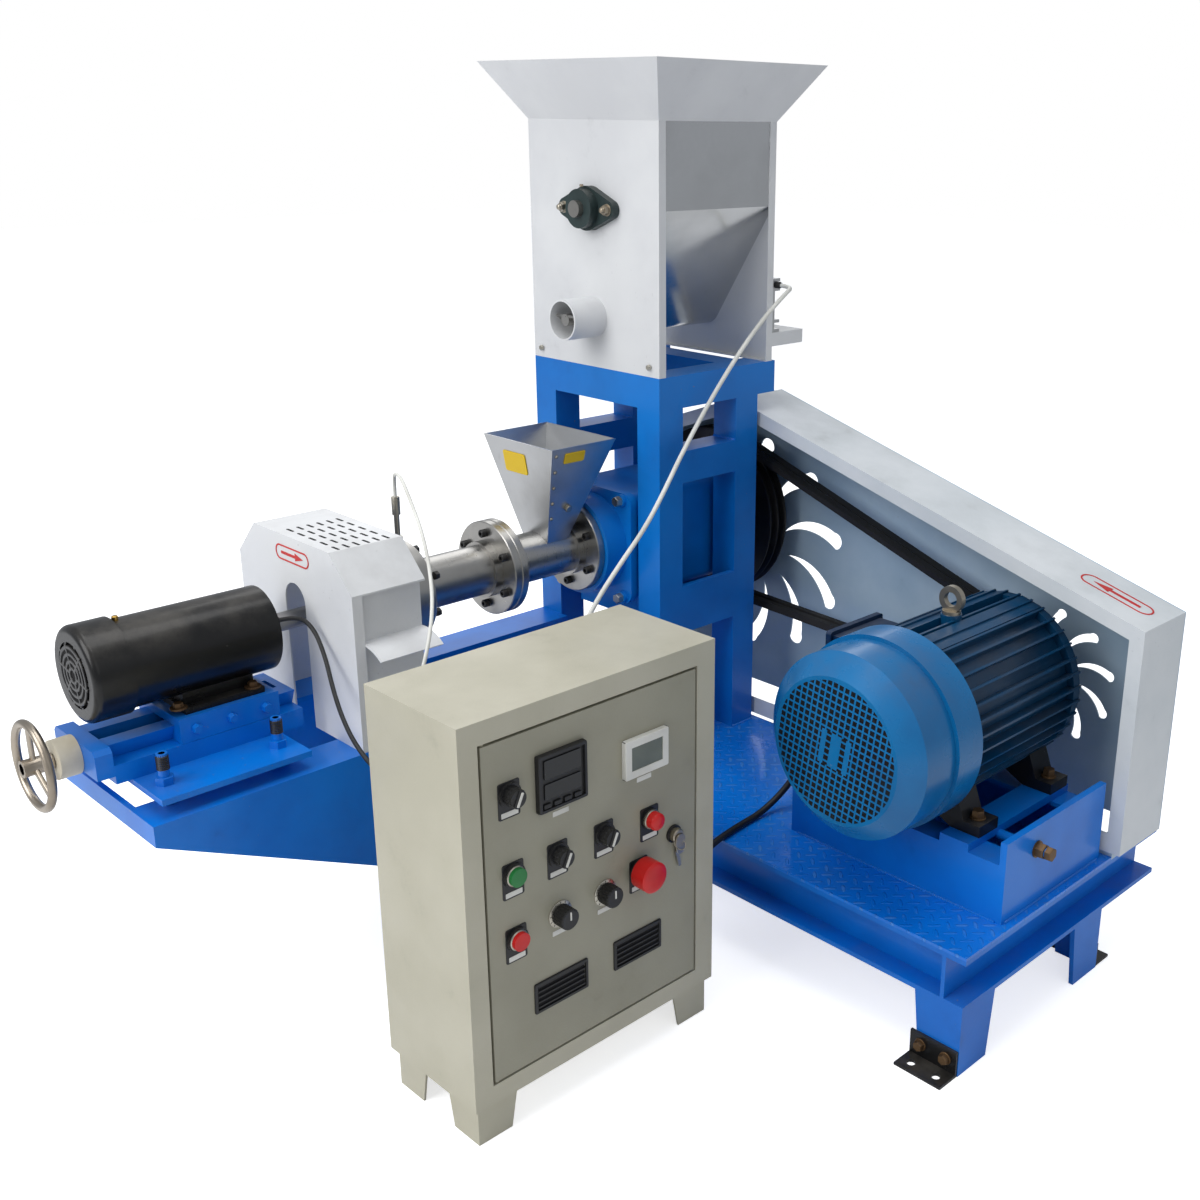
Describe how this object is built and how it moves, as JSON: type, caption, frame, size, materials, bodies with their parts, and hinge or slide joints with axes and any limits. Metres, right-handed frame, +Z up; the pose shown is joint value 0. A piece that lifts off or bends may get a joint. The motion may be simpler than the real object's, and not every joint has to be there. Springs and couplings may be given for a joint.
{
  "type": "feed pellet extruder",
  "caption": "Dry single-screw feed extruder on a welded base with feed hopper, belt drive, die-face cutter on a hand slide and a free-standing control cabinet",
  "frame": {"origin": "middle of the footprint of the machine and its cabinet, on the floor", "axes": "+X along the screw from the cutter to the belt drive, +Y from the main motor to the feed stand, +Z up"},
  "size_m": [1.294, 1.063, 1.258],
  "materials": {
    "barrel_steel": "turned and polished steel",
    "bearing_iron": "dark green-grey painted casting",
    "belt_rubber": "matt black belt rubber",
    "black_motor": "satin black motor enamel",
    "blue_paint": "glossy royal blue enamel with scuffs",
    "cabinet_paint": "beige textured powder coat",
    "cable_sheath": "flexible cable sheath",
    "control_plastic": "black bezels with coloured caps",
    "cover_paint": "white enamel on thin sheet",
    "dark_paint": "black paint",
    "deck_paint": "blue enamel on a raised lozenge tread plate, dusty",
    "guard_paint": "light grey enamel",
    "instrument_plastic": "black instrument housings",
    "machined_steel": "milled steel, lightly oiled",
    "motor_paint": "teal blue motor enamel",
    "pulley_iron": "turned grey cast iron",
    "stainless": "brushed stainless sheet",
    "wheel_metal": "worn cast handwheel, brownish bare metal",
    "white_sheath": "white cable sheath"
  },
  "bodies": {
    "machine": {"agitator_bearings": "bearing_iron", "base_channels": "blue_paint", "base_feet": "blue_paint", "bearing_housing": "blue_paint", "cabinet_back_plate": "cabinet_paint", "cabinet_shell": "cabinet_paint", "cantilever": "blue_paint", "cord_cutter": "cable_sheath", "cord_hopper": "white_sheath", "cord_main": "cable_sheath", "cord_probe": "white_sheath", "cutter_cover": "cover_paint", "deck_plate": "deck_paint", "die_head": "barrel_steel", "feed_gear_case": "black_motor", "feed_motor": "black_motor", "feed_shelf": "stainless", "feed_terminal_strip": "stainless", "floor_brackets": "dark_paint", "front_barrel": "barrel_steel", "guard_back": "guard_paint", "guard_rim": "guard_paint", "guard_supports": "guard_paint", "hopper_back_plate": "stainless", "hopper_front_plate": "stainless", "hopper_rim": "stainless", "hopper_trough": "stainless", "housing_cover": "blue_paint", "housing_shelf": "blue_paint", "inlet_hopper": "stainless", "inlet_hopper_ends": "stainless", "lifting_eye": "machined_steel", "main_motor": "motor_paint", "main_motor_feet": "motor_paint", "motor_cowl": "motor_paint", "motor_frame": "blue_paint", "motor_terminal_box": "motor_paint", "outlet_tube": "stainless", "probe": "machined_steel", "rear_barrel": "barrel_steel", "slide_base": "blue_paint", "slide_base_plate": "blue_paint", "slide_end_block": "blue_paint", "stand_mid_rails": "blue_paint", "stand_posts": "blue_paint", "stand_top_frame": "blue_paint", "v_belts": "belt_rubber"},
    "cabinet_door": {"cabinet_door": "cabinet_paint", "door_instruments": "instrument_plastic", "door_controls": "control_plastic"},
    "cutter_carriage": {"cutter_carriage": "blue_paint", "cutter_motor": "black_motor", "cutter_motor_cowl": "black_motor"},
    "cutter_rotor": {"cutter_head": "machined_steel"},
    "handwheel": {"handwheel": "wheel_metal"},
    "drive_rotor": {"drive_shaft": "machined_steel", "drive_pulley": "pulley_iron"},
    "motor_rotor": {"motor_pulley": "pulley_iron"},
    "agitator": {"agitator": "machined_steel"},
    "feed_rotor": {"feed_shaft": "machined_steel"}
  },
  "joints": [
    {"name": "cabinet_door_hinge", "type": "hinge", "parent": "machine", "child": "cabinet_door", "pos_m": [-0.339, -0.1835, 0.3025], "axis": [0, 0, -1], "range_deg": [0, 110]},
    {"name": "cutter_slide", "type": "slide", "parent": "machine", "child": "cutter_carriage", "axis": [-1, 0, 0], "range_m": [0, 0.04]},
    {"name": "cutter_spin", "type": "hinge", "parent": "cutter_carriage", "child": "cutter_rotor", "pos_m": [-0.223, 0.329, 0.521], "axis": [1, 0, 0], "continuous": true},
    {"name": "handwheel_turn", "type": "hinge", "parent": "machine", "child": "handwheel", "pos_m": [-0.633, 0.329, 0.42], "axis": [1, 0, 0], "range_deg": [0, 3600]},
    {"name": "drive_spin", "type": "hinge", "parent": "machine", "child": "drive_rotor", "pos_m": [0.477, 0.329, 0.521], "axis": [1, 0, 0], "continuous": true},
    {"name": "motor_spin", "type": "hinge", "parent": "machine", "child": "motor_rotor", "pos_m": [0.547, -0.3145, 0.407], "axis": [1, 0, 0], "continuous": true},
    {"name": "agitator_spin", "type": "hinge", "parent": "machine", "child": "agitator", "pos_m": [0.403, 0.329, 1.047], "axis": [1, 0, 0], "continuous": true},
    {"name": "feed_spin", "type": "hinge", "parent": "machine", "child": "feed_rotor", "pos_m": [0.403, 0.329, 0.883], "axis": [1, 0, 0], "continuous": true}
  ],
  "couplings": [
    {"joint": "handwheel_turn", "follows": "cutter_slide", "rad_per_m": 1570.8},
    {"joint": "motor_spin", "follows": "drive_spin", "ratio": 2.8077}
  ]
}
